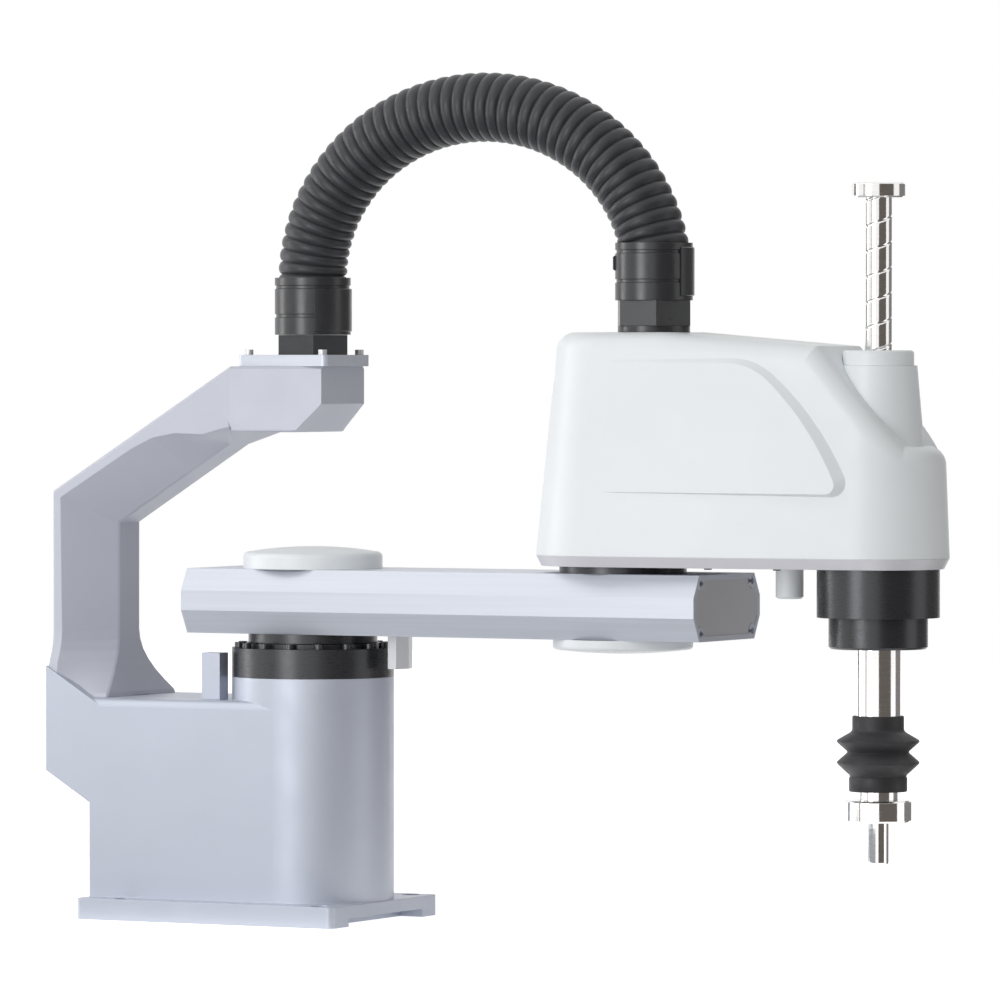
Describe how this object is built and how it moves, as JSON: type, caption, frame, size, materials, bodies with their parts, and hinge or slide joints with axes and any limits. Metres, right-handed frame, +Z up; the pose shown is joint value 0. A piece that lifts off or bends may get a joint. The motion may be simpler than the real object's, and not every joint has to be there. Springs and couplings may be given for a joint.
{
  "type": "scara robot",
  "caption": "Horizontal-jointed robot arm on a bolted base, with a gooseneck cable duct and a vertical quill that slides and turns.",
  "frame": {"origin": "where the axis of joint 1 meets the underside of the base", "axes": "+Z up along the axis of joint 1, +X along the straightened arms towards the quill, +Y to the left seen from behind the neck"},
  "size_m": [0.92, 0.21, 0.811],
  "materials": {
    "cast_paint": "fine texture paint on an aluminium casting",
    "arm_aluminium": "satin anodised extrusion",
    "machined_aluminium": "machined",
    "white_plastic": "fine moulded texture",
    "black_plastic": "moulded glass-filled nylon",
    "duct_rubber": "corrugated duct, matt",
    "bellows_rubber": "matt rubber",
    "belt_rubber": "toothed belt",
    "black_anodised": "black anodised, turned",
    "motor_black": "black painted motor housing",
    "gear_steel": "ground",
    "pulley_aluminium": "turned",
    "polished_steel": "hard chromed and polished",
    "screw_steel": "zinc plated",
    "panel_sheet": "powder coated sheet",
    "fitting_brass": "nickel-free brass"
  },
  "bodies": {
    "root": {"base_casting": "cast_paint", "cable_neck": "cast_paint", "neck_top_plate": "arm_aluminium", "neck_plate_screws": "screw_steel", "duct_nut_rear": "black_plastic", "connector_panel": "panel_sheet", "power_connector": "black_plastic", "signal_connector": "black_plastic", "air_fittings": "fitting_brass", "joint_1_ring": "black_anodised", "joint_1_ring_screws": "screw_steel", "joint_1_bearing": "gear_steel", "joint_1_reducer": "gear_steel", "joint_1_motor": "motor_black", "joint_1_stop_blocks": "cast_paint"},
    "arm_1": {"joint_1_hub": "black_anodised", "joint_1_stop_bracket": "machined_aluminium", "arm_1_profile": "arm_aluminium", "arm_1_end_plates": "machined_aluminium", "arm_1_top_cap": "white_plastic", "arm_1_bottom_cap": "white_plastic", "joint_2_hub": "black_anodised", "duct_sleeve_rear": "black_plastic", "cable_duct": "duct_rubber"},
    "arm_2": {"arm_2_base": "cast_paint", "arm_2_cover": "white_plastic", "tower_cap": "white_plastic", "joint_2_bearing": "gear_steel", "joint_2_reducer": "gear_steel", "joint_2_motor": "motor_black", "joint_2_stop_pin": "white_plastic", "nut_housing": "black_anodised", "spline_nut_bearing": "gear_steel", "drive_posts": "machined_aluminium", "drive_plate": "machined_aluminium", "joint_3_motor": "motor_black", "joint_4_motor": "motor_black", "joint_3_belt": "belt_rubber", "joint_4_belt": "belt_rubber", "screw_nut_bracket": "machined_aluminium", "screw_nut_bearing": "gear_steel", "duct_flange_front": "black_plastic", "duct_nut_front": "black_plastic", "duct_sleeve_front": "black_plastic"},
    "spline_drive": {"spline_nut": "gear_steel", "joint_4_pulley": "pulley_aluminium"},
    "screw_drive": {"ball_screw_nut": "gear_steel", "joint_3_pulley": "pulley_aluminium"},
    "motor_pulley_3": {"joint_3_motor_pulley": "pulley_aluminium"},
    "motor_pulley_4": {"joint_4_motor_pulley": "pulley_aluminium"},
    "quill": {"quill_shaft": "polished_steel", "quill_tube": "polished_steel", "top_stop_collar": "polished_steel", "bottom_collar": "polished_steel", "seal_washer": "polished_steel", "bellows": "bellows_rubber"}
  },
  "joints": [
    {"name": "joint_1", "type": "hinge", "parent": "root", "child": "arm_1", "pos_m": [0, 0, 0.27], "axis": [0, 0, 1], "range_deg": [-130, 130]},
    {"name": "joint_2", "type": "hinge", "parent": "arm_1", "child": "arm_2", "pos_m": [0.335, 0, 0.345], "axis": [0, 0, 1], "range_deg": [-105, 105], "deforming": ["cable_duct"]},
    {"name": "joint_4", "type": "hinge", "parent": "arm_2", "child": "spline_drive", "pos_m": [0.6, 0, 0.38], "axis": [0, 0, 1], "range_deg": [-360, 360]},
    {"name": "joint_3", "type": "slide", "parent": "spline_drive", "child": "quill", "axis": [0, 0, 1], "range_m": [-0.14, 0.06]},
    {"name": "screw_nut_turn", "type": "hinge", "parent": "spline_drive", "child": "screw_drive", "pos_m": [0.6, 0, 0.49], "axis": [0, 0, 1], "range_deg": [-1081, 2521]},
    {"name": "motor_3_turn", "type": "hinge", "parent": "arm_2", "child": "motor_pulley_3", "pos_m": [0.5, 0.034, 0.483], "axis": [0, 0, 1], "range_deg": [-2084, 4861]},
    {"name": "motor_4_turn", "type": "hinge", "parent": "arm_2", "child": "motor_pulley_4", "pos_m": [0.5, -0.034, 0.459], "axis": [0, 0, 1], "range_deg": [-772, 772]}
  ],
  "couplings": [
    {"joint": "screw_nut_turn", "follows": "joint_3", "rad_per_m": -314.16},
    {"joint": "motor_3_turn", "follows": "joint_3", "rad_per_m": -605.88},
    {"joint": "motor_4_turn", "follows": "joint_4", "ratio": 2.1429}
  ]
}
